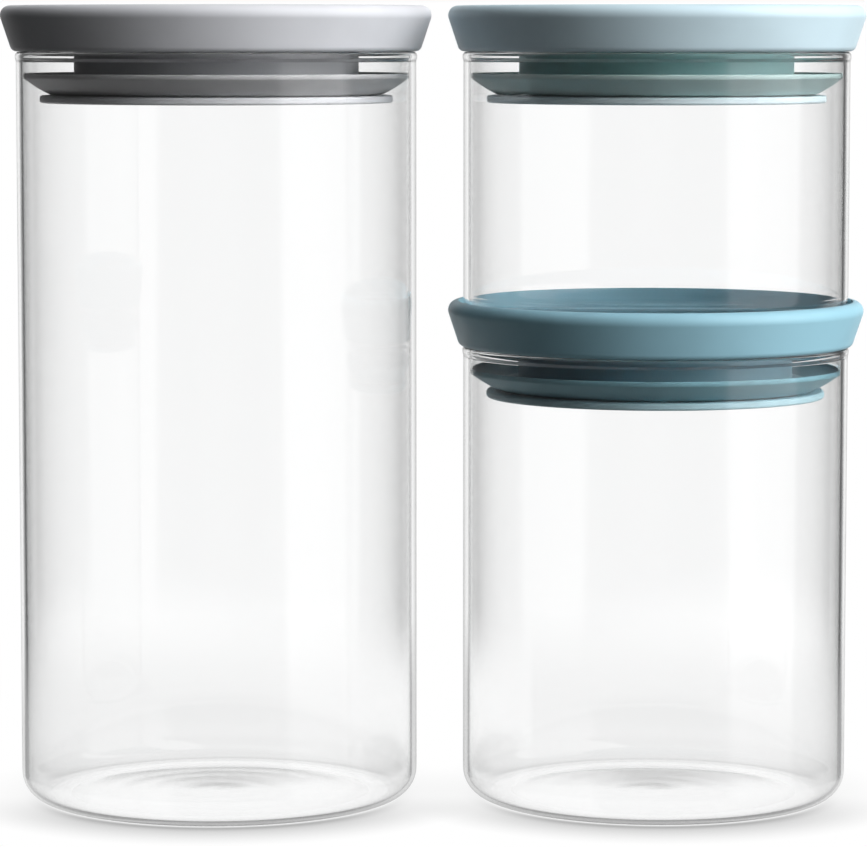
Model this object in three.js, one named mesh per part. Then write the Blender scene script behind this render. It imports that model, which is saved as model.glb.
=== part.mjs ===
// A set of three round glass storage containers: one tall jar, and beside it a medium jar that carries a
// small one stacked on its lid. Every jar is closed by a flared push-in lid with a flexible wiper seal.
//
// Units are millimetres and +Z is up. The set stands on z = 0, the front faces -Y, the tall container is
// on the left (-X), and the origin is under the middle of the whole set.
// Each container is a stack of turned pieces on one upright axis, so each piece is one lathe outline.

import * as THREE from "three";

// ---- Driving dimensions -------------------------------------------------------------------------

const FACETS = 32; // flat sides round each turned piece
const CLEARANCE = 0.3; // gap left where two pieces touch

const TALL_JAR_RADIUS = 56.5;
const TALL_JAR_HEIGHT = 212.5;
const STACK_JAR_RADIUS = 54.6;
const MEDIUM_JAR_HEIGHT = 129.2;
const LID_SPACING = 4.3; // between the rims of the two lids that stand side by side

const GLASS_WALL = 1.8;
const GLASS_FLOOR = 1.5; // height of the inside floor above the table
const FOOT_CORNER = 8; // outer radius where wall meets foot
const FOOT_RING_WIDTH = 7.5; // flat ring that the jar stands on
const PUNT_HEIGHT = 0.3; // how far the underside is hollowed inside that ring
const MOUTH_BEAD_HEIGHT = 2.6; // fire-polished bead round the mouth
const MOUTH_BEAD_SWELL = 0.25; // how far the bead stands out of the wall, each way

const CAP_HEIGHT = 12.6;
const CAP_GAP = 0.4; // from the jar's mouth up to the cap's underside
const CAP_FOOT_OVERHANG = 1.1; // how far the cap's lower edge reaches past the jar
const CAP_RIM_OVERHANG = 4.5; // how far its flared top reaches past the jar
const CAP_CREST = 3; // radius of the rim's rounded outer crest
const CAP_SKIRT = 3; // thickness of the cap's wall at its lower edge
const CAP_EDGE = 1.2; // break on the skirt's outer lower corner
const CAP_FLOOR = 2; // thickness of the cap's top panel
const RECESS_DEPTH = 6.5; // well in the cap's top that takes a stacked jar's foot
const RECESS_CLEARANCE = 1.1; // play round a stacked jar's foot, at the well's floor
const RECESS_DRAFT = 0.25; // how much wider the well is at its mouth

const NECK_RATIO = 0.7115; // neck radius as a share of the jar's radius
const NECK_WALL = 2;
const NECK_DROP = 12.3; // from the cap's underside to the neck's lower end
const COLLAR_FLANGE = 1.6; // thickness of the panel that closes the cap from below

const SEAL_LIP_TOP = 6.4; // from the cap's underside down to the lip's edge
const SEAL_LIP_THICKNESS = 1.1;
const SEAL_HUB_HEIGHT = 2.7;
const SEAL_HUB_WIDTH = 4;
const SEAL_ROOT_INSET = 9.4; // from the jar's outside in to where the lip starts
const SEAL_TIP_BAND = 1.4; // upright band at the lip's edge, which wipes the glass
const SEAL_BULGE = 0.4; // how far the lip bows out below a straight line

const RETAINER_INSET = 6.6; // from the jar's outside in to the retainer's edge
const RETAINER_THICKNESS = 2.1;
const RETAINER_CHAMFER = 0.6;
const RETAINER_SPIGOT = 5.5; // ring that snaps up inside the neck
const SPIGOT_WALL = 1.7;

// ---- Derived sizes ------------------------------------------------------------------------------

const STACK_STEP = CAP_GAP + CAP_HEIGHT - RECESS_DEPTH + CLEARANCE; // jar's mouth to the foot on its lid
const SMALL_JAR_BASE = MEDIUM_JAR_HEIGHT + STACK_STEP;
const SMALL_JAR_HEIGHT = TALL_JAR_HEIGHT - SMALL_JAR_BASE; // the stack ends level with the tall lid

const TALL_LID_RADIUS = TALL_JAR_RADIUS + CAP_RIM_OVERHANG;
const STACK_LID_RADIUS = STACK_JAR_RADIUS + CAP_RIM_OVERHANG;
const SET_WIDTH = 2 * TALL_LID_RADIUS + LID_SPACING + 2 * STACK_LID_RADIUS;
const TALL_AXIS_X = TALL_LID_RADIUS - SET_WIDTH / 2;
const STACK_AXIS_X = SET_WIDTH / 2 - STACK_LID_RADIUS;

// ---- Materials ----------------------------------------------------------------------------------

const glass = new THREE.MeshStandardMaterial({
  color: 0xf2f6f5,
  roughness: 0.02,
  metalness: 0,
  transparent: true,
  opacity: 0.35,
});

function plastic(color) {
  return new THREE.MeshStandardMaterial({ color, roughness: 0.45, metalness: 0 });
}

function silicone(color) {
  return new THREE.MeshStandardMaterial({ color, roughness: 0.65, metalness: 0 });
}

const FINISHES = {
  grey: { plastic: plastic(0xc6c7cc), silicone: silicone(0xa3a3a6) },
  mint: { plastic: plastic(0xb9d2da), silicone: silicone(0x9ab4b8) },
  teal: { plastic: plastic(0x86bccb), silicone: silicone(0x6fa5b4) },
};

// ---- Outlines: lists of points (distance from the axis, height) -----------------------------------

const point = (r, z) => new THREE.Vector2(r, z);

// Points on a circle about (r, z), from one angle to another, in degrees from straight out.
function arc(r, z, radius, from, to, steps) {
  const points = [];
  for (let i = 0; i <= steps; i++) {
    const angle = THREE.MathUtils.degToRad(from + ((to - from) * i) / steps);
    points.push(point(r + radius * Math.cos(angle), z + radius * Math.sin(angle)));
  }
  return points;
}

// The glass, from the middle of the underside, out and up the wall, over the mouth and back inside.
function jarOutline(radius, height) {
  const inside = radius - GLASS_WALL;
  const footEdge = radius - FOOT_CORNER;
  const footInner = footEdge - FOOT_RING_WIDTH;
  const beadRadius = GLASS_WALL / 2 + MOUTH_BEAD_SWELL;
  const beadFoot = height - MOUTH_BEAD_HEIGHT;
  const innerCorner = FOOT_CORNER - GLASS_WALL;
  return [
    point(0, PUNT_HEIGHT),
    point(footInner - 2 * PUNT_HEIGHT, PUNT_HEIGHT),
    point(footInner, 0),
    ...arc(footEdge, FOOT_CORNER, FOOT_CORNER, -90, 0, 3),
    point(radius, beadFoot),
    ...arc(radius - GLASS_WALL / 2, height - beadRadius, beadRadius, 0, 180, 4),
    point(inside, beadFoot),
    ...arc(inside - innerCorner, GLASS_FLOOR + innerCorner, innerCorner, 0, -90, 3),
    point(0, GLASS_FLOOR),
  ];
}

// The cap: a flared skirt, a rounded crest and a top panel sunk to take a stacked jar.
function capOutline(radius, z) {
  const foot = radius + CAP_FOOT_OVERHANG;
  const rim = radius + CAP_RIM_OVERHANG;
  const top = z + CAP_HEIGHT;
  const well = radius + RECESS_CLEARANCE;
  const panel = top - RECESS_DEPTH;
  const skirtInside = foot - CAP_SKIRT;
  return [
    point(skirtInside, z),
    point(foot - CAP_EDGE, z),
    point(foot, z + CAP_EDGE),
    ...arc(rim - CAP_CREST, top - CAP_CREST, CAP_CREST, 0, 90, 3),
    point(well + RECESS_DRAFT, top - CAP_CREST / 4),
    point(well, panel),
    point(0, panel),
    point(0, panel - CAP_FLOOR),
    point(skirtInside, panel - CAP_FLOOR),
    point(skirtInside, z),
  ];
}

// The collar: the panel that closes the cap from below, with the neck tube that carries the seal.
function collarOutline(radius, z) {
  const neck = radius * NECK_RATIO;
  const bore = neck - NECK_WALL;
  const flange = radius + CAP_FOOT_OVERHANG - CAP_SKIRT - CLEARANCE;
  const tubeTop = z + CAP_HEIGHT - RECESS_DEPTH - CAP_FLOOR - CLEARANCE;
  return [
    point(bore, z - NECK_DROP),
    point(neck, z - NECK_DROP),
    point(neck, z),
    point(flange, z),
    point(flange, z + COLLAR_FLANGE),
    point(neck, z + COLLAR_FLANGE),
    point(neck, tubeTop),
    point(bore, tubeTop),
    point(bore, z - NECK_DROP),
  ];
}

// The seal: a hub round the neck, and a lip that flares up and out to wipe the glass.
function sealOutline(radius, z) {
  const inner = radius * NECK_RATIO + CLEARANCE;
  const bottom = z - NECK_DROP;
  const root = radius - SEAL_ROOT_INSET;
  const tip = radius - GLASS_WALL - CLEARANCE;
  const lipTop = z - SEAL_LIP_TOP;
  const hubTop = bottom + SEAL_HUB_HEIGHT;
  const hubOuter = inner + SEAL_HUB_WIDTH;
  const middle = (root + tip) / 2;
  const bandFoot = lipTop - SEAL_TIP_BAND;
  const half = (bottom + bandFoot) / 2;
  return [
    point(inner, bottom),
    point(root, bottom),
    point(middle, half - SEAL_BULGE),
    point(tip, bandFoot),
    point(tip, lipTop - SEAL_LIP_THICKNESS / 2),
    point(tip - SEAL_LIP_THICKNESS / 2, lipTop),
    point(tip - SEAL_LIP_THICKNESS * 1.5, lipTop - SEAL_LIP_THICKNESS),
    point(middle, half + SEAL_LIP_THICKNESS * 1.2),
    point(hubOuter, bottom + SEAL_LIP_THICKNESS * 1.6),
    point(hubOuter, hubTop),
    point(inner, hubTop),
    point(inner, bottom),
  ];
}

// The retainer: the disc that holds the seal up, with a ring that snaps inside the neck.
function retainerOutline(radius, z) {
  const top = z - NECK_DROP - CLEARANCE;
  const bottom = top - RETAINER_THICKNESS;
  const rim = radius - RETAINER_INSET;
  const spigot = radius * NECK_RATIO - NECK_WALL - CLEARANCE;
  const spigotTop = top + RETAINER_SPIGOT;
  return [
    point(0, bottom),
    point(rim - RETAINER_CHAMFER, bottom),
    point(rim, bottom + RETAINER_CHAMFER),
    point(rim, top - RETAINER_CHAMFER),
    point(rim - RETAINER_CHAMFER, top),
    point(spigot, top),
    point(spigot, spigotTop),
    point(spigot - SPIGOT_WALL, spigotTop),
    point(spigot - SPIGOT_WALL, top),
    point(0, top),
  ];
}

// ---- Pieces -------------------------------------------------------------------------------------

// One piece turned about the upright axis.
function turned(name, outline, material) {
  const geometry = new THREE.LatheGeometry(outline, FACETS);
  geometry.rotateX(Math.PI / 2); // the lathe turns about Y, and the set stands along Z
  const mesh = new THREE.Mesh(geometry, material);
  mesh.name = name;
  return mesh;
}

// One container, standing on its own z = 0: the jar, and the four pieces of its lid.
function container(name, radius, height, finish) {
  const lid = height + CAP_GAP; // the cap's underside
  const group = new THREE.Group();
  group.add(
    turned(`${name}_jar_glass`, jarOutline(radius, height), glass),
    turned(`${name}_lid_cap`, capOutline(radius, lid), finish.plastic),
    turned(`${name}_lid_collar`, collarOutline(radius, lid), finish.plastic),
    turned(`${name}_lid_seal`, sealOutline(radius, lid), finish.silicone),
    turned(`${name}_lid_retainer`, retainerOutline(radius, lid), finish.plastic),
  );
  return group;
}

const tall = container("tall", TALL_JAR_RADIUS, TALL_JAR_HEIGHT, FINISHES.grey);
tall.position.set(TALL_AXIS_X, 0, 0);

const medium = container("medium", STACK_JAR_RADIUS, MEDIUM_JAR_HEIGHT, FINISHES.teal);
medium.position.set(STACK_AXIS_X, 0, 0);

const small = container("small", STACK_JAR_RADIUS, SMALL_JAR_HEIGHT, FINISHES.mint);
small.position.set(STACK_AXIS_X, 0, SMALL_JAR_BASE);

const containers = new THREE.Group();
containers.add(tall, medium, small);

export default containers;
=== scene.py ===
"""Looks for a set of round glass storage containers with flared push-in lids.

A tall container with a light grey lid stands on the left. On the right a small container with a mint
lid stands in the recessed blue-green lid of a medium one. Every piece is a turned form: an outline of
rounded corners, carried round the container's upright axis as one numpy grid. Lengths are metres.
"""

import functools
import logging
import math
from dataclasses import dataclass
from enum import Enum

import bpy
import numpy as np
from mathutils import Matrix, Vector


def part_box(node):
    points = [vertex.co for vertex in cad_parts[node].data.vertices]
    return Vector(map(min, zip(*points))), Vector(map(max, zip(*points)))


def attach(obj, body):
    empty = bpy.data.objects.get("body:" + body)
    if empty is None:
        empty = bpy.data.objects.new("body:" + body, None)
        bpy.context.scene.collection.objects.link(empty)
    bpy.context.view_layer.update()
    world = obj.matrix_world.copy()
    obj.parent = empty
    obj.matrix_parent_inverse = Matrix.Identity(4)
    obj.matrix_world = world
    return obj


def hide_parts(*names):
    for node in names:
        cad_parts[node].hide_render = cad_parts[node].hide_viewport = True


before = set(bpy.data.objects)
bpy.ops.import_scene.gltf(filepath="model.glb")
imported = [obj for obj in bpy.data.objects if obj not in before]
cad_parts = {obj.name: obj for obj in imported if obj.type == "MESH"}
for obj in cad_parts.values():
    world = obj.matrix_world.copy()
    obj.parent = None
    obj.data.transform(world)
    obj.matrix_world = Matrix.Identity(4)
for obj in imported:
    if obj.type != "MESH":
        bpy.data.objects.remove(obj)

LOG = logging.getLogger("containers")
MM = 0.001
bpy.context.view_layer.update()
ARC_ROOM = 0.95  # The share of a corner's shorter side that its arc may take.
ARC_STEP = math.radians(9)  # The turn between two points of an arc.
NEARLY_STRAIGHT = math.radians(89.5)  # A corner whose half angle is over this isn't rounded.
GUARD = 0.15 * MM  # How far from a straight stretch's ends its outer points lie.
SAME_POINT = 1e-7  # Points closer than this are one point.


# ---- Turned surfaces ------------------------------------------------------------------------------


class Outline(Enum):
    """How a turned outline ends."""

    SOLID = "starts and ends on the axis"
    RING = "closes on itself"


@dataclass(frozen=True)
class Corner:
    """One corner of an outline, at a distance from the axis and a height, rounded to a radius."""

    r: float
    z: float
    fillet: float = 0.0


def fillet_points(before: np.ndarray, here: np.ndarray, after: np.ndarray, radius: float) -> np.ndarray:
    """Rounds one corner of an outline.

    The arc's centre lies on the line that halves the corner, at radius over the sine of the half
    angle, and the arc touches each side at radius over the tangent of the half angle.

    Args:
        before: The corner before this one.
        here: The corner to round.
        after: The corner after it.
        radius: The wanted radius, made smaller where the sides are too short for it.

    Returns:
        The arc's points, from the first side to the second.
    """
    to_before = before - here
    to_after = after - here
    room = ARC_ROOM * min(np.linalg.norm(to_before), np.linalg.norm(to_after))
    to_before = to_before / np.linalg.norm(to_before)
    to_after = to_after / np.linalg.norm(to_after)
    half = 0.5 * math.acos(float(np.clip(to_before @ to_after, -1.0, 1.0)))
    if radius <= 0 or half > NEARLY_STRAIGHT:
        return here[None, :]
    radius = min(radius, room * math.tan(half))
    middle = to_before + to_after
    centre = here + middle / np.linalg.norm(middle) * radius / math.sin(half)
    start = here + to_before * radius / math.tan(half) - centre
    end = here + to_after * radius / math.tan(half) - centre
    first = math.atan2(start[1], start[0])
    sweep = math.atan2(start[0] * end[1] - start[1] * end[0], float(start @ end))
    steps = max(3, int(abs(sweep) / ARC_STEP))
    angles = first + sweep * np.linspace(0, 1, steps + 1)
    return centre + radius * np.stack([np.cos(angles), np.sin(angles)], axis=1)


def rounded(corners: list[Corner], kind: Outline, span: float = 6 * MM) -> np.ndarray:
    """Works out a smooth outline from its corners.

    Every straight stretch longer than three guards gets a point a guard away from each of its ends,
    so that its shading stays flat, and further points where it is longer than the span.

    Args:
        corners: The outline's corners, anticlockwise with the axis on the left.
        kind: Whether the outline ends on the axis or closes on itself.
        span: The longest straight step.

    Returns:
        An array of points, each a distance from the axis and a height.
    """
    points = np.array([[c.r, c.z] for c in corners])
    count = len(corners)
    pieces = []
    for i, corner in enumerate(corners):
        at_end = kind is Outline.SOLID and i in (0, count - 1)
        if at_end:
            arc = points[i][None, :]
        else:
            arc = fillet_points(points[i - 1], points[i], points[(i + 1) % count], corner.fillet)
        pieces.append(arc)
    if kind is Outline.RING:
        pieces.append(pieces[0][:1])
    made = [pieces[0]]
    for previous, arc in zip(pieces, pieces[1:]):
        start, end = previous[-1], arc[0]
        length = float(np.linalg.norm(end - start))
        if length > 3 * GUARD:
            inner = max(2, int(length / span) + 1)
            shares = np.linspace(GUARD / length, 1 - GUARD / length, inner)
            made.append(start + (end - start) * shares[:, None])
        made.append(arc)
    outline = np.concatenate(made)
    step = np.linalg.norm(np.diff(outline, axis=0), axis=1)
    keep = np.concatenate([[True], step > SAME_POINT])
    return outline[keep]


def turned_mesh(name: str, outline: np.ndarray, kind: Outline, axis: tuple[float, float],
                sectors: int, warp=None) -> bpy.types.Object:
    """Carries an outline once round an upright axis.

    Point (i, j) of the grid is the outline's point i, turned by j shares of a full circle: its
    place is axis plus r times (cosine, sine), at height z. A SOLID outline's two ends are single
    points on the axis, and a RING's last row is its first.

    Args:
        name: The new object's name.
        outline: Points, each a distance from the axis and a height.
        kind: Whether the outline ends on the axis or closes on itself.
        axis: Where the axis stands, in x and y.
        sectors: How many steps make the circle.
        warp: Optional function of the grid's r, z and angle arrays that gives new r and z arrays.

    Returns:
        The object, with its faces pointing out and its place in its mesh.
    """
    angle = np.linspace(0, 2 * math.pi, sectors, endpoint=False)[None, :]
    solid = kind is Outline.SOLID
    rows = outline[1:-1] if solid else outline[:-1]
    r = np.repeat(rows[:, :1], sectors, axis=1)
    z = np.repeat(rows[:, 1:], sectors, axis=1)
    if warp is not None:
        r, z = warp(r, z, angle)
    grid = np.stack([axis[0] + r * np.cos(angle), axis[1] + r * np.sin(angle), z], axis=-1)
    points = grid.reshape(-1, 3)
    count = len(rows)
    row = np.arange(count if not solid else count - 1)[:, None]
    column = np.arange(sectors)[None, :]
    beside = (column + 1) % sectors
    above = (row + 1) % count
    quads = np.stack([row * sectors + column, row * sectors + beside,
                      above * sectors + beside, above * sectors + column], axis=-1).reshape(-1, 4)
    faces = quads.tolist()
    if solid:
        low, high = len(points), len(points) + 1
        first = [axis[0], axis[1], outline[0, 1]]
        last = [axis[0], axis[1], outline[-1, 1]]
        if warp is not None:
            first[2] = float(z[0].mean())
            last[2] = float(z[-1].mean())
        points = np.concatenate([points, [first, last]])
        around = np.arange(sectors)
        onward = (around + 1) % sectors
        top = (count - 1) * sectors
        faces += np.stack([np.full(sectors, low), onward, around], axis=-1).tolist()
        faces += np.stack([top + around, top + onward, np.full(sectors, high)], axis=-1).tolist()
    mesh = bpy.data.meshes.new(name)
    mesh.from_pydata(points.tolist(), [], faces)
    mesh.polygons.foreach_set("use_smooth", np.ones(len(mesh.polygons), dtype=bool))
    mesh.update()
    piece = bpy.data.objects.new(name, mesh)
    bpy.context.scene.collection.objects.link(piece)
    return piece


# ---- Finishes -------------------------------------------------------------------------------------


class Bench:
    """A material's nodes, added and wired by short calls."""

    def __init__(self, tree: bpy.types.NodeTree) -> None:
        """Empties the tree, ready for new nodes."""
        self.tree = tree
        tree.nodes.clear()

    def add(self, kind: str, **settings) -> bpy.types.Node:
        """Adds a node.

        Args:
            kind: The node's type, such as ShaderNodeMath.
            settings: Its own settings, by name.

        Returns:
            The node.
        """
        node = self.tree.nodes.new(kind)
        for name, value in settings.items():
            setattr(node, name, value)
        return node

    def join(self, output: bpy.types.NodeSocket, *inputs: bpy.types.NodeSocket) -> None:
        """Wires one output to each of the inputs."""
        for socket in inputs:
            self.tree.links.new(output, socket)

    def math(self, operation: str, *values) -> bpy.types.NodeSocket:
        """Adds a Math node.

        Args:
            operation: What it does, such as MULTIPLY.
            values: Its inputs, each a number or an output.

        Returns:
            Its output.
        """
        node = self.add("ShaderNodeMath", operation=operation)
        for socket, value in zip(node.inputs, values):
            if isinstance(value, (int, float)):
                socket.default_value = value
            else:
                self.join(value, socket)
        return node.outputs[0]

    def ramp(self, value: bpy.types.NodeSocket, low: float, high: float,
             out_low: float = 0.0, out_high: float = 1.0) -> bpy.types.NodeSocket:
        """Turns a value between low and high into a smooth step between two others."""
        node = self.add("ShaderNodeMapRange", interpolation_type="SMOOTHSTEP")
        self.join(value, node.inputs["Value"])
        node.inputs["From Min"].default_value = low
        node.inputs["From Max"].default_value = high
        node.inputs["To Min"].default_value = out_low
        node.inputs["To Max"].default_value = out_high
        return node.outputs[0]

    def noise(self, vector: bpy.types.NodeSocket, scale: float, detail: float) -> bpy.types.NodeSocket:
        """Adds a Noise Texture on the given coordinates and returns its value."""
        node = self.add("ShaderNodeTexNoise")
        self.join(vector, node.inputs["Vector"])
        node.inputs["Scale"].default_value = scale
        node.inputs["Detail"].default_value = detail
        return node.outputs["Fac"]

    def mottle(self, fac: bpy.types.NodeSocket, colour: tuple[float, float, float],
               dark: float, light: float) -> bpy.types.NodeSocket:
        """Mixes a darker and a lighter share of one colour.

        Args:
            fac: How far the mix has gone from dark to light.
            colour: The colour.
            dark: The darker share.
            light: The lighter share. No part of the colour goes over 1.

        Returns:
            The mixed colour.
        """
        tint = self.add("ShaderNodeMix", data_type="RGBA")
        tint.inputs["A"].default_value = (*(dark * c for c in colour), 1)
        tint.inputs["B"].default_value = (*(min(1.0, light * c) for c in colour), 1)
        self.join(fac, tint.inputs["Factor"])
        return tint.outputs["Result"]

    def bump(self, height: bpy.types.NodeSocket, strength: float, depth: float) -> bpy.types.NodeSocket:
        """Adds a Bump node on a height and returns its normal."""
        node = self.add("ShaderNodeBump")
        node.inputs["Strength"].default_value = strength
        node.inputs["Distance"].default_value = depth
        self.join(height, node.inputs["Height"])
        return node.outputs["Normal"]


def new_material(name: str) -> tuple[bpy.types.Material, Bench]:
    """Makes an empty node material and the bench to wire it on."""
    material = bpy.data.materials.new(name)
    material.use_nodes = True
    return material, Bench(material.node_tree)


@dataclass(frozen=True)
class MouldedPlastic:
    """Satin injection-moulded plastic: a nearly even colour, a fine grain and a soft gloss."""

    name: str
    slot: str
    colour: tuple[float, float, float]
    dark: float = 0.965
    light: float = 1.03
    cloud_scale: float = 38.0
    cloud_band: tuple[float, float] = (0.35, 0.65)
    roughness: float = 0.48
    roughness_play: float = 0.04
    patch_scale: float = 140.0
    patch_band: tuple[float, float] = (0.3, 0.7)
    grain_strength: float = 0.35
    grain_depth: float = 0.012 * MM
    grain_scale: float = 2600.0
    ior: float = 1.49
    specular: float = 0.25

    def material(self) -> bpy.types.Material:
        """Builds the node material."""
        material, bench = new_material(self.name)
        shader = bench.add("ShaderNodeBsdfPrincipled")
        place = bench.add("ShaderNodeTexCoord").outputs["Object"]
        cloud = bench.ramp(bench.noise(place, self.cloud_scale, 3.0), *self.cloud_band)
        colour = bench.mottle(cloud, self.colour, self.dark, self.light)
        bench.join(colour, shader.inputs["Base Color"])
        patch = bench.noise(place, self.patch_scale, 2.0)
        smooth, rough = self.roughness - self.roughness_play, self.roughness + self.roughness_play
        bench.join(bench.ramp(patch, *self.patch_band, smooth, rough), shader.inputs["Roughness"])
        grain = bench.noise(place, self.grain_scale, 2.0)
        normal = bench.bump(grain, self.grain_strength, self.grain_depth)
        bench.join(normal, shader.inputs["Normal"])
        shader.inputs["IOR"].default_value = self.ior
        shader.inputs["Specular IOR Level"].default_value = self.specular
        out = bench.add("ShaderNodeOutputMaterial")
        bench.join(shader.outputs["BSDF"], out.inputs["Surface"])
        return material


@dataclass(frozen=True)
class SoftSilicone:
    """Matte silicone rubber: mottled, fine-grained, with a dusty sheen."""

    name: str
    slot: str
    colour: tuple[float, float, float]
    dark: float = 0.93
    light: float = 1.05
    cloud_scale: float = 55.0
    cloud_band: tuple[float, float] = (0.3, 0.7)
    roughness: float = 0.6
    grain_strength: float = 0.3
    grain_depth: float = 0.02 * MM
    grain_scale: float = 1500.0
    ior: float = 1.43
    sheen: float = 0.15
    sheen_roughness: float = 0.4

    def material(self) -> bpy.types.Material:
        """Builds the node material."""
        material, bench = new_material(self.name)
        shader = bench.add("ShaderNodeBsdfPrincipled")
        place = bench.add("ShaderNodeTexCoord").outputs["Object"]
        cloud = bench.ramp(bench.noise(place, self.cloud_scale, 3.0), *self.cloud_band)
        colour = bench.mottle(cloud, self.colour, self.dark, self.light)
        bench.join(colour, shader.inputs["Base Color"])
        grain = bench.noise(place, self.grain_scale, 3.0)
        normal = bench.bump(grain, self.grain_strength, self.grain_depth)
        bench.join(normal, shader.inputs["Normal"])
        shader.inputs["Roughness"].default_value = self.roughness
        shader.inputs["IOR"].default_value = self.ior
        shader.inputs["Sheen Weight"].default_value = self.sheen
        shader.inputs["Sheen Roughness"].default_value = self.sheen_roughness
        out = bench.add("ShaderNodeOutputMaterial")
        bench.join(shader.outputs["BSDF"], out.inputs["Surface"])
        return material


@dataclass(frozen=True)
class ClearGlass:
    """Clear soda-lime glass: faint waves from forming, and a cool grey depth along its edges."""

    name: str = "clear_glass"
    slot: str = "clear_glass"
    tint: tuple[float, float, float] = (0.87, 0.88, 0.88)
    density: float = 90.0
    ior: float = 1.5
    wave_strength: float = 0.25
    wave_depth: float = 0.05 * MM
    wave_scale: float = 45.0

    def material(self) -> bpy.types.Material:
        """Builds the node material: a clear surface, and absorption in the thickness of the glass."""
        material, bench = new_material(self.name)
        shader = bench.add("ShaderNodeBsdfPrincipled")
        shader.inputs["Base Color"].default_value = (1, 1, 1, 1)
        shader.inputs["Transmission Weight"].default_value = 1.0
        shader.inputs["IOR"].default_value = self.ior
        shader.inputs["Roughness"].default_value = 0.0
        place = bench.add("ShaderNodeTexCoord").outputs["Object"]
        wave = bench.noise(place, self.wave_scale, 1.0)
        normal = bench.bump(wave, self.wave_strength, self.wave_depth)
        bench.join(normal, shader.inputs["Normal"])
        depth = bench.add("ShaderNodeVolumeAbsorption")
        depth.inputs["Color"].default_value = (*self.tint, 1)
        depth.inputs["Density"].default_value = self.density
        out = bench.add("ShaderNodeOutputMaterial")
        bench.join(shader.outputs["BSDF"], out.inputs["Surface"])
        bench.join(depth.outputs["Volume"], out.inputs["Volume"])
        return material


@functools.cache
def material_of(finish) -> bpy.types.Material:
    """Makes a finish's material the first time that it is asked for, and gives the same one after."""
    return finish.material()


class Tone(Enum):
    """The colour family of one lid."""

    GREY = "grey"
    TEAL = "teal"
    MINT = "mint"


PLASTICS = {
    Tone.GREY: MouldedPlastic("grey_plastic", "grey_plastic", (0.56, 0.57, 0.6)),
    Tone.TEAL: MouldedPlastic("teal_plastic", "teal_plastic", (0.265, 0.475, 0.565), roughness=0.44),
    Tone.MINT: MouldedPlastic("mint_plastic", "mint_plastic", (0.53, 0.67, 0.735)),
}
# The mint collar's plastic is a greener copy of the mint plastic: a painted shade tint, for the greener
# look that translucent mint takes in shade.
NECKS = {
    Tone.GREY: PLASTICS[Tone.GREY],
    Tone.TEAL: PLASTICS[Tone.TEAL],
    Tone.MINT: MouldedPlastic("mint_neck_shade_tint_plastic", "mint_plastic", (0.38, 0.66, 0.67)),
}
# The retainer discs are lighter copies of the lid plastics: painted light, standing in for the light that
# each disc's upright rim catches.
BRIGHTENED_DISCS = {
    Tone.GREY: MouldedPlastic("grey_disc_painted_light_plastic", "grey_plastic", (0.8, 0.81, 0.84)),
    Tone.TEAL: MouldedPlastic("teal_disc_painted_light_plastic", "teal_plastic", (0.46, 0.68, 0.75)),
    Tone.MINT: MouldedPlastic("mint_disc_painted_light_plastic", "mint_plastic", (0.74, 0.87, 0.92)),
}
SILICONES = {
    Tone.GREY: SoftSilicone("grey_silicone", "grey_silicone", (0.5, 0.5, 0.51)),
    Tone.TEAL: SoftSilicone("teal_silicone", "teal_silicone", (0.2, 0.41, 0.48)),
    Tone.MINT: SoftSilicone("mint_silicone", "mint_silicone", (0.46, 0.61, 0.6)),
}


# ---- The container's pieces -----------------------------------------------------------------------


@dataclass(frozen=True)
class Place:
    """Where a turned CAD node stands: its axis, its radius, and its lowest and highest points."""

    axis: tuple[float, float]
    radius: float
    low: float
    high: float

    @classmethod
    def of_node(cls, node: str) -> "Place":
        """Reads a node's place from its box in the frame."""
        low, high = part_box(node)
        middle = ((low[0] + high[0]) / 2, (low[1] + high[1]) / 2)
        return cls(middle, (high[0] - low[0]) / 2, low[2], high[2])


def fit_piece(piece: bpy.types.Object, node: str, body: str, finish) -> bpy.types.Object:
    """Dresses a piece, lets it ride on its body, and has it stand for its CAD node.

    Args:
        piece: The finished piece.
        node: The CAD node it stands for.
        body: The body it rides on.
        finish: A finish with a slot and a material method.

    Returns:
        The piece.
    """
    piece.data.materials.append(material_of(finish))
    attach(piece, body)
    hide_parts(node)
    LOG.info("%s stands for %s on %s, with %d faces", piece.name, node, body, len(piece.data.polygons))
    return piece


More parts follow.
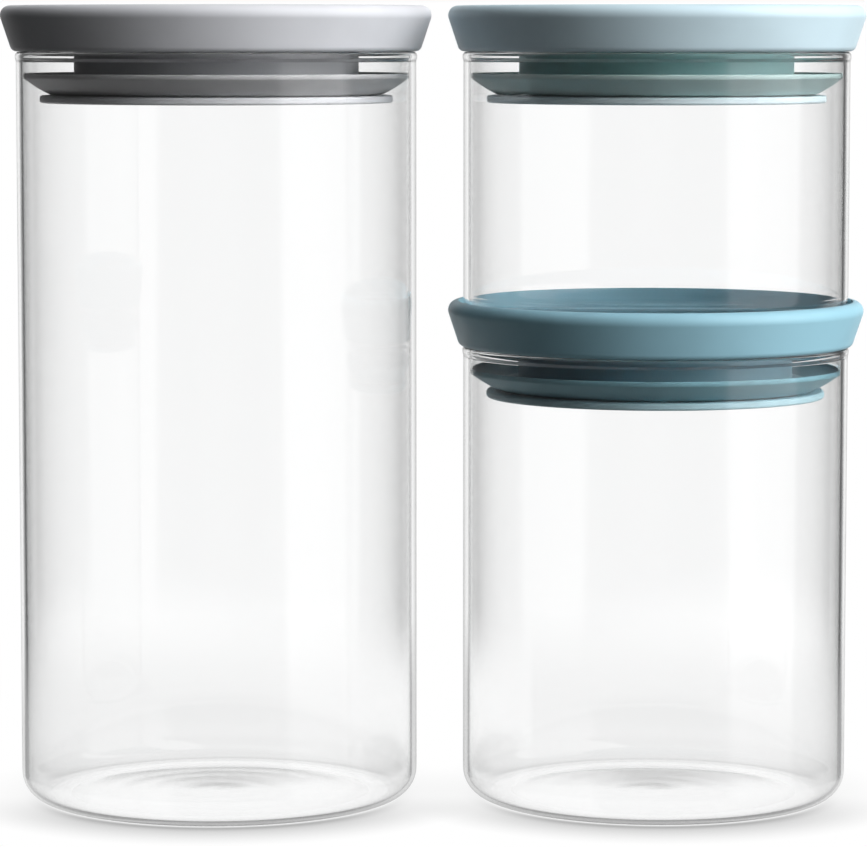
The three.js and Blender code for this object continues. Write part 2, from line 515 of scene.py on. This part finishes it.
@dataclass
class GlassJar:
    """A straight-sided glass jar with a rounded foot, a hollowed underside and a beaded mouth."""

    name: str
    ripple: float
    wall: float = 1.8 * MM
    floor: float = 1.5 * MM
    foot_corner: float = 8.0 * MM
    foot_ring: float = 7.5 * MM
    punt: float = 0.3 * MM
    bead_swell: float = 0.25 * MM
    bead_height: float = 2.6 * MM
    bead_blend: float = 1 * MM
    bead_rise: float = 0.9 * MM
    bead_corner: float = 0.8 * MM
    lip_roundness: float = 0.98
    ring_inset: float = 1.5 * MM
    ring_blend: float = 5 * MM
    wave_pitch: float = 9 * MM
    wave_drift: float = 0.8
    wave_start: float = 0.6
    wave_layer: float = 0.3 * MM
    calm_middle: float = 6 * MM
    calm_from: float = 0.86
    calm_width: float = 0.2
    sectors: int = 288

    def outline(self, radius: float, low: float, high: float) -> np.ndarray:
        """Works out the glass's outline, from the hollow underside over the mouth to the inside floor.

        The mouth's bead swells out and in by the same amount from a neck just below it.

        Args:
            radius: The wall's outer radius.
            low: The foot's height.
            high: The mouth's height.

        Returns:
            The outline's points.
        """
        inside = radius - self.wall
        ring = radius - self.foot_corner - self.foot_ring
        bead = radius + self.bead_swell
        lip = inside - self.bead_swell
        neck = high - self.bead_height
        round_lip = (bead - lip) / 2 * self.lip_roundness
        corners = [
            Corner(0, low + self.punt),
            Corner(ring + self.ring_inset, low, self.ring_blend),
            Corner(radius, low, self.foot_corner),
            Corner(radius, neck, self.bead_blend),
            Corner(bead, neck + self.bead_rise, self.bead_corner),
            Corner(bead, high, round_lip),
            Corner(lip, high, round_lip),
            Corner(lip, neck + self.bead_rise, self.bead_corner),
            Corner(inside, neck, self.bead_blend),
            Corner(inside, low + self.floor, self.foot_corner - self.wall),
            Corner(0, low + self.floor),
        ]
        return rounded(corners, Outline.SOLID, span=4 * MM)

    def waves(self, low: float, radius: float):
        """Makes the warp that gives the inside floor its faint rings, as forming leaves them.

        The height changes by the ripple times a sine of the distance from the axis, which drifts
        with the angle, and fades out towards the corner and the axis. Only heights near the inside
        floor move.

        Args:
            low: The foot's height.
            radius: The wall's outer radius.

        Returns:
            The warp.
        """
        def warp(r: np.ndarray, z: np.ndarray, angle: np.ndarray) -> tuple[np.ndarray, np.ndarray]:
            """Lifts the inside floor by the rings."""
            near = np.exp(-(((z - low - self.floor) / self.wave_layer) ** 2))
            drift = self.wave_drift * np.cos(angle + self.wave_start)
            phase = 2 * math.pi * r / self.wave_pitch + drift
            off_axis = 1 - np.exp(-((r / self.calm_middle) ** 2))
            off_corner = np.clip((self.calm_from - r / radius) / self.calm_width, 0, 1)
            lift = self.ripple * np.sin(phase) * near * off_axis * off_corner
            return r, z + lift
        return warp

    def build(self) -> bpy.types.Object:
        """Builds and dresses the glass."""
        node = f"{self.name}_jar_glass"
        place = Place.of_node(node)
        radius = place.radius - self.bead_swell
        outline = self.outline(radius, place.low, place.high)
        piece = turned_mesh(f"{self.name}_glass_jar", outline, Outline.SOLID, place.axis,
                            self.sectors, self.waves(place.low, radius))
        return fit_piece(piece, node, f"{self.name}_jar", ClearGlass())


# How a seal's tip rounds over: how far in from the tip and down from the top each point lies, in mm.
TIP_ROUND = ((0.0, 0.3), (0.12, 0.08), (0.4, 0.0), (0.75, 0.12))


@dataclass
class PushInLid:
    """A flared cap with a stacking recess, over a neck that carries a silicone wiper seal.

    The names that end in edge, root or corner are radii, apart from the hub's two, which are the
    sizes of small cuts.
    """

    name: str
    tone: Tone
    crest: float = 2.9 * MM
    crest_lean: float = 0.3
    skirt: float = 3.0 * MM
    skirt_corner: float = 1.9 * MM
    skirt_edge: float = 0.4 * MM
    seat: float = 0.3 * MM
    panel: float = 2.0 * MM
    panel_root: float = 0.6 * MM
    recess: float = 6.5 * MM
    flare: float = 3.4 * MM
    well_play: float = 3.4 * MM
    well_lean: float = 0.25 * MM
    well_edge: float = 0.2 * MM
    well_root: float = 1.2 * MM
    neck_wall: float = 2.0 * MM
    collar_edge: float = 0.3 * MM
    flange: float = 1.6 * MM
    flange_under_root: float = 0.8 * MM
    flange_over_root: float = 0.5 * MM
    lip: float = 1.1 * MM
    lip_thick: float = 1.3
    lip_taper: float = 0.5
    lip_straight: float = 0.7
    lip_bend: float = 0.3
    lip_steps: int = 28
    lip_reach: float = 7.3 * MM
    tip_gap: float = 0.15 * MM
    tip_band: float = 1.4 * MM
    tip_band_start: float = 0.9
    hub_height: float = 2.7 * MM
    hub_width: float = 4.0 * MM
    hub_edge: float = 0.3 * MM
    hub_root: float = 0.35 * MM
    disc: float = 2.1 * MM
    disc_edge: float = 0.75 * MM
    mark: float = 3.2 * MM
    mark_depth: float = 0.35 * MM
    mark_slope: float = 0.4 * MM
    mark_root: float = 0.2 * MM
    mark_edge: float = 0.3 * MM
    spigot_wall: float = 1.7 * MM
    spigot_edge: float = 0.4 * MM
    spigot_root: float = 0.5 * MM
    neck_share: float = 0.7115
    play: float = 0.3 * MM
    sectors: int = 288

    def cap_outline(self, place: Place) -> np.ndarray:
        """Works out the cap's outline: the panel's underside, skirt, rounded crest and recess."""
        rim = place.radius
        foot = rim - self.flare
        well = rim - self.well_play
        inside = foot - self.skirt
        deck = place.high - self.recess
        corners = [
            Corner(0, deck - self.panel),
            Corner(inside, deck - self.panel, self.panel_root),
            Corner(inside, place.low - self.seat, self.skirt_edge),
            Corner(foot, place.low - self.seat, self.skirt_corner),
            Corner(rim + self.crest_lean * self.crest, place.high, self.crest),
            Corner(well + self.well_lean, place.high, self.well_edge),
            Corner(well, deck, self.well_root),
            Corner(0, deck),
        ]
        return rounded(corners, Outline.SOLID)

    def collar_outline(self, place: Place, underside: float, neck: float) -> np.ndarray:
        """Works out the collar's outline: the neck tube and the flange that closes the cap."""
        bore = neck - self.neck_wall
        edge = self.collar_edge
        corners = [
            Corner(bore, place.low, edge),
            Corner(neck, place.low, edge),
            Corner(neck, underside, self.flange_under_root),
            Corner(place.radius, underside, edge),
            Corner(place.radius, underside + self.flange, edge),
            Corner(neck, underside + self.flange, self.flange_over_root),
            Corner(neck, place.high, edge),
            Corner(bore, place.high, edge),
        ]
        return rounded(corners, Outline.RING)

    def seal_outline(self, place: Place, inner: float) -> np.ndarray:
        """Works out the seal's outline: a hub, and a lip that swings out and up to wipe the glass.

        The lip's outer face runs from its root to its tip as seven tenths of a straight line and
        three tenths of a parabola. Its inner face lies a thickness away along the normal, thinner
        towards the tip. An upright band rings the tip.

        Args:
            place: The seal's place.
            inner: The hub's inner radius.

        Returns:
            The outline's points.
        """
        tip = place.radius
        root = tip - self.lip_reach
        rise = place.high - self.tip_band - place.low
        turn = np.linspace(0, 1, self.lip_steps)
        up = self.lip_straight * turn + self.lip_bend * turn ** 2
        face = np.stack([root + (self.lip_reach - self.tip_gap) * turn, place.low + rise * up], axis=1)
        slope = np.gradient(face, axis=0)
        slope /= np.linalg.norm(slope, axis=1, keepdims=True)
        thick = (self.lip * (self.lip_thick - self.lip_taper * turn))[:, None]
        back = (face + np.stack([-slope[:, 1], slope[:, 0]], axis=1) * thick)[::-1]
        band = [[tip, place.high - self.tip_band * self.tip_band_start]]
        band += [[tip - inward * MM, place.high - down * MM] for inward, down in TIP_ROUND]
        hub = inner + self.hub_width
        top = place.low + self.hub_height
        edge = self.hub_edge
        back = back[back[:, 0] > hub + edge]
        ring = [
            [hub, back[-1, 1] + self.hub_root],
            [hub, top - edge],
            [hub - edge, top],
            [inner + edge, top],
            [inner, top - edge],
            [inner, place.low + edge],
            [inner + edge, place.low],
        ]
        outline = np.concatenate([face, np.array(band), back, np.array(ring)])
        return np.concatenate([outline, outline[:1]])

    def retainer_outline(self, place: Place, spigot: float) -> np.ndarray:
        """Works out the retainer's outline: a disc with rounded edges, and the ring that holds it.

        A shallow round mark, as a mould's gate leaves, lies in the middle of the underside.

        Args:
            place: The retainer's place.
            spigot: The ring's outer radius.

        Returns:
            The outline's points.
        """
        top = place.low + self.disc
        rim = place.radius
        bore = spigot - self.spigot_wall
        corners = [
            Corner(0, place.low + self.mark_depth),
            Corner(self.mark, place.low + self.mark_depth, self.mark_root),
            Corner(self.mark + self.mark_slope, place.low, self.mark_edge),
            Corner(rim, place.low, self.disc_edge),
            Corner(rim, top, self.disc_edge),
            Corner(spigot, top, self.spigot_edge),
            Corner(spigot, place.high, self.spigot_edge),
            Corner(bore, place.high, self.spigot_edge),
            Corner(bore, top, self.spigot_root),
            Corner(0, top),
        ]
        return rounded(corners, Outline.SOLID)

    def build(self) -> list[bpy.types.Object]:
        """Builds and dresses the lid's four pieces.

        Returns:
            The cap, collar, seal and retainer.
        """
        body = f"{self.name}_lid"
        cap = Place.of_node(f"{body}_cap")
        collar = Place.of_node(f"{body}_collar")
        seal = Place.of_node(f"{body}_seal")
        retainer = Place.of_node(f"{body}_retainer")
        glass = Place.of_node(f"{self.name}_jar_glass").radius - GlassJar.bead_swell
        neck = glass * self.neck_share
        spigot = neck - self.neck_wall - self.play
        tone, solid, ring = self.tone, Outline.SOLID, Outline.RING
        plan = [
            ("flared_cap", "cap", self.cap_outline(cap), solid, PLASTICS[tone]),
            ("neck_collar", "collar", self.collar_outline(collar, cap.low, neck), ring, NECKS[tone]),
            ("wiper_seal", "seal", self.seal_outline(seal, neck + self.play), ring, SILICONES[tone]),
            ("retainer_disc", "retainer", self.retainer_outline(retainer, spigot), solid, BRIGHTENED_DISCS[tone]),
        ]
        made = []
        for label, part, outline, kind, finish in plan:
            piece = turned_mesh(f"{self.name}_{label}", outline, kind, cap.axis, self.sectors)
            made.append(fit_piece(piece, f"{body}_{part}", body, finish))
        return made


@dataclass
class Container:
    """One container: a jar and its lid."""

    name: str
    tone: Tone
    ripple: float

    def build(self) -> list[bpy.types.Object]:
        """Builds the jar and the lid's pieces."""
        return [GlassJar(self.name, self.ripple).build(), *PushInLid(self.name, self.tone).build()]


# ---- The studio -----------------------------------------------------------------------------------

# A ray's depths are whole numbers. Below NO_DEPTH a depth is nought, and below ONE_WALL it is two at
# most: in through one face of a wall and out through the other.
NO_DEPTH = 0.5
ONE_WALL = 2.5
DEPTH_MARGIN = 0.25


def cosine(degrees: float) -> float:
    """Gives the cosine of an angle in degrees."""
    return math.cos(math.radians(degrees))


@dataclass(frozen=True)
class Lamp:
    """A soft patch of light far away, as the world shows it to the pieces.

    Its edge fades as a smooth step between two angles from its middle.
    """

    azimuth: float
    elevation: float
    inner: float
    outer: float
    strength: float

    def direction(self) -> Vector:
        """Points from the object to the lamp: azimuth 0 is the front, and 90 the right."""
        a, e = math.radians(self.azimuth), math.radians(self.elevation)
        return Vector((math.sin(a) * math.cos(e), -math.cos(a) * math.cos(e), math.sin(e)))

    def wire(self, bench: Bench, ray: bpy.types.NodeSocket) -> bpy.types.NodeSocket:
        """Adds the lamp's nodes and returns its light along a ray."""
        facing = bench.add("ShaderNodeVectorMath", operation="DOT_PRODUCT")
        bench.join(ray, facing.inputs[0])
        facing.inputs[1].default_value = self.direction()
        edge, middle = cosine(self.outer), cosine(self.inner)
        return bench.ramp(facing.outputs["Value"], edge, middle, 0.0, self.strength)


@dataclass
class Studio:
    """Soft light from the upper right, a pale floor, and what the glass shows of the surroundings.

    Plastic and silicone are lit by the lamps. What the glass shows goes by the path that a ray has
    taken. Straight through the glass it sees white from every side. After a reflection it sees a
    white backdrop with a half-lit border, or the lamps, and dark grey beside them. A ray that has
    gone through one wall at most sees a dimmer backdrop and ground, which draws the jars' outlines.

    Angles are degrees to either side of straight behind, heights are the ray's upward part, and
    pairs are where a smooth step starts and ends, or its values there.
    """

    key: Lamp = Lamp(azimuth=64, elevation=35, inner=12, outer=40, strength=5.2)
    low: Lamp = Lamp(azimuth=66, elevation=5, inner=10, outer=30, strength=3.0)
    top: Lamp = Lamp(azimuth=0, elevation=90, inner=24, outer=62, strength=0.5)
    table: Lamp = Lamp(azimuth=75, elevation=-25, inner=15, outer=60, strength=0.3)
    back: Lamp = Lamp(azimuth=180, elevation=0, inner=24, outer=42, strength=0.9)
    fill: float = 0.012
    bounce: float = 0.05
    bounce_depth: float = 0.5
    lamp_glint: float = 1.0
    side_grey: float = 0.09
    backdrop: float = 1.12
    backdrop_half_angle: float = 25.0
    backdrop_blur: float = 0.3
    backdrop_top: tuple[float, float] = (0.5, 0.3)
    backdrop_angles: tuple[float, float] = (22.0, 3.0)
    backdrop_side: float = 0.8
    border_width: float = 3.0
    border_blur: float = 0.4
    border_share: float = 0.3
    rim_angles: tuple[float, float] = (18.0, 10.0)
    rim_share: tuple[float, float] = (0.86, 0.62)
    ground_height: tuple[float, float] = (-0.19, -0.24)
    wall_share: float = 0.55
    floor_half: float = 0.45
    floor_clear: tuple[float, float] = (0.16, 0.4)
    floor_bounce: float = 0.08
    shadow_reach: float = 22 * MM
    shadow_depth: float = 0.72
    shadow_side: float = 0.18
    shadow_ahead: float = 50 * MM
    shadow_inset: tuple[float, float] = (8 * MM, 4 * MM)
    camera_place: tuple[float, float, float] = (0.0001, -1.175, 0.218)
    camera_tilt: float = 5.4
    camera_lens: float = 171.9

    def lamps(self, bench: Bench, ray: bpy.types.NodeSocket,
              height: bpy.types.NodeSocket) -> bpy.types.NodeSocket:
        """Adds up the lamps in front and beside, the light from below and the fill.

        Args:
            bench: The world's nodes.
            ray: The ray's direction.
            height: Its upward part.

        Returns:
            Their light along the ray.
        """
        below = bench.math("MULTIPLY", height, -1.0)
        below = bench.ramp(below, 0.0, self.bounce_depth, 0.0, self.bounce)
        total = bench.math("ADD", self.key.wire(bench, ray), self.top.wire(bench, ray))
        for lamp in (self.low, self.table):
            total = bench.math("ADD", total, lamp.wire(bench, ray))
        return bench.math("ADD", bench.math("ADD", total, below), self.fill)

    def screen(self, bench: Bench, parts: bpy.types.NodeOutputs,
               path: bpy.types.NodeOutputs) -> bpy.types.NodeSocket:
        """Works out the backdrop and the ground, as the glass shows them.

        Args:
            bench: The world's nodes.
            parts: The ray's direction, split into X, Y and Z.
            path: The Light Path node's outputs.

        Returns:
            Their light along the ray.
        """
        height = parts["Z"]
        level = bench.math("SQRT", bench.math("SUBTRACT", 1.0, bench.math("MULTIPLY", height, height)))
        behind = bench.math("DIVIDE", parts["Y"], level)
        edge, blur = self.backdrop_half_angle, self.backdrop_blur
        lit = 1.0 - self.border_share
        bright = bench.ramp(behind, cosine(edge + blur), cosine(edge - blur), 0.0, lit)
        edge, blur = edge + self.border_width, self.border_blur
        border = bench.ramp(behind, cosine(edge + blur), cosine(edge - blur), 0.0, self.border_share)
        panel = bench.math("ADD", bright, border)
        panel = bench.math("MULTIPLY", panel, bench.ramp(height, *self.backdrop_top))
        straight = bench.math("LESS_THAN", path["Glossy Depth"], NO_DEPTH)
        panel = bench.math("MAXIMUM", panel, straight)
        glow = bench.ramp(behind, *map(cosine, self.backdrop_angles), self.backdrop_side)
        rim = bench.ramp(behind, *map(cosine, self.rim_angles), *self.rim_share)
        in_wall = bench.math("LESS_THAN", path["Transmission Depth"], ONE_WALL)
        change = bench.math("MULTIPLY", bench.math("SUBTRACT", rim, glow), in_wall)
        panel = bench.math("MULTIPLY", panel, bench.math("ADD", glow, change))
        dim = bench.math("SUBTRACT", 1.0, bench.math("MULTIPLY", in_wall, 1.0 - self.wall_share))
        ground = bench.math("MULTIPLY", bench.ramp(height, *self.ground_height), dim)
        return bench.math("MULTIPLY", bench.math("MAXIMUM", panel, ground), self.backdrop)

    def world(self) -> None:
        """Builds the world: white for the camera, lamps for the pieces, a backdrop for the glass."""
        world = bpy.data.worlds.new("studio")
        world.use_nodes = True
        bpy.context.scene.world = world
        bench = Bench(world.node_tree)
        ray = bench.add("ShaderNodeTexCoord").outputs["Generated"]
        split = bench.add("ShaderNodeSeparateXYZ")
        bench.join(ray, split.inputs[0])
        path = bench.add("ShaderNodeLightPath").outputs
        lamps = self.lamps(bench, ray, split.outputs["Z"])
        screen = self.screen(bench, split.outputs, path)
        sharp = bench.math("MAXIMUM", path["Is Transmission Ray"], path["Is Singular Ray"])
        first = bench.math("LESS_THAN", path["Diffuse Depth"], NO_DEPTH)
        seen = bench.math("MULTIPLY", sharp, first)
        glint = bench.math("MAXIMUM", bench.math("MINIMUM", lamps, self.lamp_glint), self.side_grey)
        clear = bench.math("MULTIPLY", bench.math("MAXIMUM", glint, screen), seen)
        lamps = bench.math("ADD", lamps, self.back.wire(bench, ray))
        unseen = bench.math("SUBTRACT", 1.0, seen)
        light = bench.math("ADD", bench.math("MULTIPLY", lamps, unseen), clear)
        camera = path["Is Camera Ray"]
        light = bench.math("MULTIPLY", light, bench.math("SUBTRACT", 1.0, camera))
        light = bench.math("ADD", light, camera)
        background = bench.add("ShaderNodeBackground")
        background.inputs["Color"].default_value = (1, 1, 1, 1)
        bench.join(light, background.inputs["Strength"])
        out = bench.add("ShaderNodeOutputWorld")
        bench.join(background.outputs["Background"], out.inputs["Surface"])
        world.cycles.sampling_method = "MANUAL"
        world.cycles.sample_map_resolution = 512

    def floor(self, jars: list[Place]) -> None:
        """Lays the floor: a pale sheet with a painted shadow only close round each standing jar.

        The sheet glows by itself, less for light that lights a piece and for what a wall shows, and
        fades out away from the set. The painted shadow rings are stronger in front of the jars.

        Args:
            jars: The places of the jars that stand on it.
        """
        half = self.floor_half
        mesh = bpy.data.meshes.new("floor")
        corners = [(-half, -half, 0), (half, -half, 0), (half, half, 0), (-half, half, 0)]
        mesh.from_pydata(corners, [], [(0, 1, 2, 3)])
        sheet = bpy.data.objects.new("floor", mesh)
        bpy.context.scene.collection.objects.link(sheet)
        material, bench = new_material("pale_floor")
        place = bench.add("ShaderNodeTexCoord").outputs["Object"]
        outside = None
        for jar in jars:
            gap = bench.add("ShaderNodeVectorMath", operation="DISTANCE")
            bench.join(place, gap.inputs[0])
            gap.inputs[1].default_value = (*jar.axis, 0)
            clear = bench.ramp(gap.outputs["Value"], *(jar.radius - inset for inset in self.shadow_inset))
            outside = clear if outside is None else bench.math("MULTIPLY", outside, clear)
        # Painted shadow: the sheet's glow dims where it sees little open sky near a jar's foot.
        open_sky = bench.add("ShaderNodeAmbientOcclusion", samples=8)
        open_sky.inputs["Distance"].default_value = self.shadow_reach
        shade = bench.math("SUBTRACT", 1.0, open_sky.outputs["AO"])
        shade = bench.math("MULTIPLY", bench.math("MULTIPLY", shade, outside), self.shadow_depth)
        # The painted shadow is made stronger towards the front of the floor than at the back.
        spot = bench.add("ShaderNodeSeparateXYZ")
        bench.join(place, spot.inputs[0])
        ahead = bench.ramp(spot.outputs["Y"], 0.0, -self.shadow_ahead, self.shadow_side, 1.0)
        shade = bench.math("MULTIPLY", shade, ahead)
        path = bench.add("ShaderNodeLightPath").outputs
        none = NO_DEPTH - DEPTH_MARGIN, NO_DEPTH + DEPTH_MARGIN
        share = bench.ramp(path["Diffuse Depth"], *none, 1.0, self.floor_bounce)
        one_wall = ONE_WALL - DEPTH_MARGIN, ONE_WALL + DEPTH_MARGIN
        in_wall = bench.ramp(path["Transmission Depth"], *one_wall, 1.0, 0.0)
        in_wall = bench.math("MULTIPLY", in_wall, bench.math("SUBTRACT", 1.0, path["Is Camera Ray"]))
        dim = bench.math("SUBTRACT", 1.0, bench.math("MULTIPLY", in_wall, 1.0 - self.wall_share))
        share = bench.math("MULTIPLY", share, dim)
        strength = bench.math("MULTIPLY", bench.math("SUBTRACT", 1.0, shade), share)
        glow = bench.add("ShaderNodeEmission")
        bench.join(strength, glow.inputs["Strength"])
        away = bench.add("ShaderNodeVectorMath", operation="LENGTH")
        bench.join(place, away.inputs[0])
        cover = bench.add("ShaderNodeMixShader")
        bench.join(bench.ramp(away.outputs["Value"], *self.floor_clear), cover.inputs["Fac"])
        bench.join(glow.outputs["Emission"], cover.inputs[1])
        bench.join(bench.add("ShaderNodeBsdfTransparent").outputs["BSDF"], cover.inputs[2])
        out = bench.add("ShaderNodeOutputMaterial")
        bench.join(cover.outputs["Shader"], out.inputs["Surface"])
        mesh.materials.append(material)
        sheet.visible_diffuse = False
        sheet.visible_glossy = False

    def camera(self) -> None:
        """Stands the camera in front, a little below the lids' tops, tilted down at the set's middle."""
        data = bpy.data.cameras.new("camera")
        data.sensor_width = 36.0
        data.lens = self.camera_lens
        data.clip_start = 0.05
        data.clip_end = 50.0
        camera = bpy.data.objects.new("camera", data)
        bpy.context.scene.collection.objects.link(camera)
        camera.location = self.camera_place
        camera.rotation_euler = (math.radians(90 - self.camera_tilt), 0, 0)
        bpy.context.scene.camera = camera

    def build(self, jars: list[Place]) -> None:
        """Builds the world, floor and camera, and lets light pass through many glass walls.

        Args:
            jars: The places of the jars that stand on the floor.
        """
        self.world()
        self.floor(jars)
        self.camera()
        scene = bpy.context.scene
        scene.view_settings.view_transform = "Standard"
        scene.cycles.use_denoising = True
        scene.cycles.max_bounces = 24
        scene.cycles.transmission_bounces = 24
        scene.cycles.glossy_bounces = 8
        scene.cycles.diffuse_bounces = 4
        scene.cycles.blur_glossy = 0.0
        scene.cycles.caustics_reflective = False


CONTAINERS = [
    Container("tall", Tone.GREY, ripple=0.04 * MM),
    Container("medium", Tone.TEAL, ripple=0.04 * MM),
    Container("small", Tone.MINT, ripple=0.006 * MM),
]


def main() -> None:
    """Builds the set, the studio and the camera."""
    logging.basicConfig(level=logging.INFO, format="%(name)s: %(message)s")
    for container in CONTAINERS:
        container.build()
    Studio().build([Place.of_node("tall_jar_glass"), Place.of_node("medium_jar_glass")])


if __name__ == "__main__":
    main()
